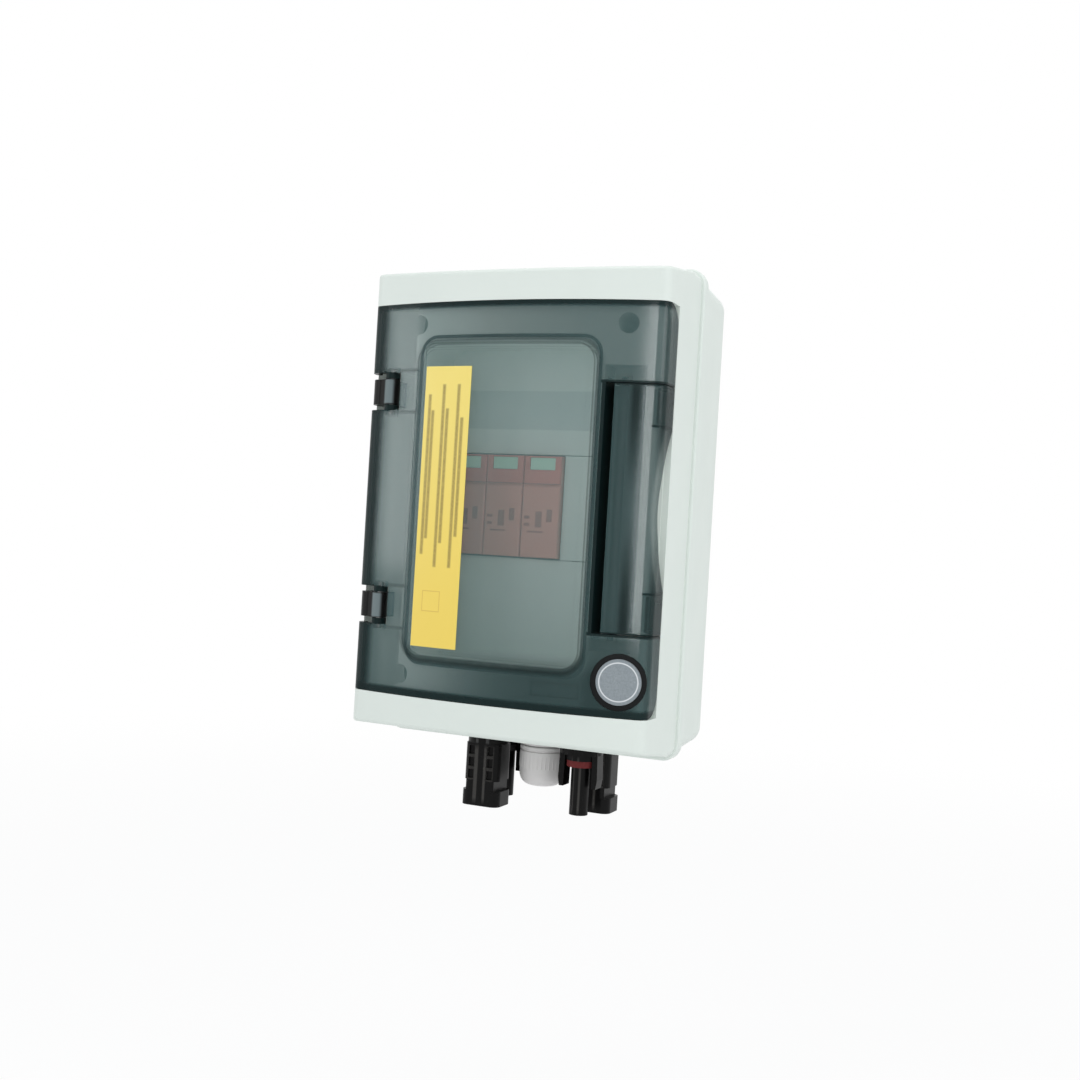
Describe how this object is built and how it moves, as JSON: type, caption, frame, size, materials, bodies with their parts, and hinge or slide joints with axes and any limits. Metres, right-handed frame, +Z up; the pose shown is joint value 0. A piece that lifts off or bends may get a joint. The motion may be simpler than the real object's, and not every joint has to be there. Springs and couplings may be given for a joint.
{
  "type": "solar combiner box",
  "caption": "Wall housing with a smoked hinged door over plug-in surge protectors, and panel connectors and a cable gland below.",
  "frame": {"origin": "centre of the back face, in the plane of the wall", "axes": "+X to the right seen from the front, +Y into the wall so that the front faces -Y, +Z up"},
  "size_m": [0.1428, 0.1014, 0.2458],
  "materials": {
    "housing_plastic": "fine-grained pale grey moulding",
    "smoked_plastic": "smoked clear moulding",
    "connector_plastic": "black moulding",
    "seal_rubber": "soft black",
    "pin_steel": "bright",
    "screw_steel": "zinc plated",
    "rail_steel": "zinc plated",
    "label_yellow": "plain yellow film",
    "badge_silver": "satin",
    "badge_black": "black ring",
    "device_plastic": "pale grey",
    "latch_plastic": "black",
    "plug_plastic": "orange-red",
    "status_green": "green",
    "blank_plastic": "pale grey",
    "contact_tin": "tin plated",
    "ring_red": "soft red",
    "gland_plastic": "pale grey"
  },
  "bodies": {
    "housing": {"back_box": "housing_plastic", "front_cover": "housing_plastic", "cover_gasket": "seal_rubber", "door_seal": "seal_rubber", "hinge_block_upper": "connector_plastic", "hinge_block_lower": "connector_plastic", "cover_screws": "screw_steel", "din_rail": "rail_steel", "rail_screws": "screw_steel", "surge_base": "device_plastic", "terminal_screws": "screw_steel", "blanking_plate": "blank_plastic", "wide_connector_left": "connector_plastic", "wide_connector_right": "connector_plastic", "slim_connector_left": "connector_plastic", "slim_connector_right": "connector_plastic", "connector_seals": "seal_rubber", "connector_nuts": "connector_plastic", "contact_sockets": "contact_tin", "contact_pins": "contact_tin", "probe_rings": "ring_red", "gland_body": "gland_plastic", "gland_nut": "gland_plastic", "gland_insert": "seal_rubber", "gland_washer": "seal_rubber", "gland_locknut": "gland_plastic"},
    "door": {"door": "smoked_plastic", "hinge_pin_upper": "pin_steel", "hinge_pin_lower": "pin_steel", "label_strip": "label_yellow", "badge_disc": "badge_silver", "badge_ring": "badge_black"},
    "handle": {"door_handle": "smoked_plastic"},
    "plug_1": {"surge_plug_1": "plug_plastic", "status_flag_1": "status_green"},
    "plug_2": {"surge_plug_2": "plug_plastic", "status_flag_2": "status_green"},
    "plug_3": {"surge_plug_3": "plug_plastic", "status_flag_3": "status_green"},
    "latch": {"rail_latch": "latch_plastic"}
  },
  "joints": [
    {"name": "door_swing", "type": "hinge", "parent": "housing", "child": "door", "pos_m": [-0.0575, -0.0905, 0], "axis": [0, 0, -1], "range_deg": [0, 105]},
    {"name": "handle_turn", "type": "hinge", "parent": "door", "child": "handle", "pos_m": [0.0516, -0.0916, 0], "axis": [0, 0, -1], "range_deg": [0, 25]},
    {"name": "plug_1_slide", "type": "slide", "parent": "housing", "child": "plug_1", "axis": [0, -1, 0], "range_m": [0, 0.012]},
    {"name": "plug_2_slide", "type": "slide", "parent": "housing", "child": "plug_2", "axis": [0, -1, 0], "range_m": [0, 0.012]},
    {"name": "plug_3_slide", "type": "slide", "parent": "housing", "child": "plug_3", "axis": [0, -1, 0], "range_m": [0, 0.012]},
    {"name": "rail_latch_slide", "type": "slide", "parent": "housing", "child": "latch", "axis": [0, 0, -1], "range_m": [0, 0.003], "stiffness_N_per_m": 600, "springref_m": -0.002}
  ]
}
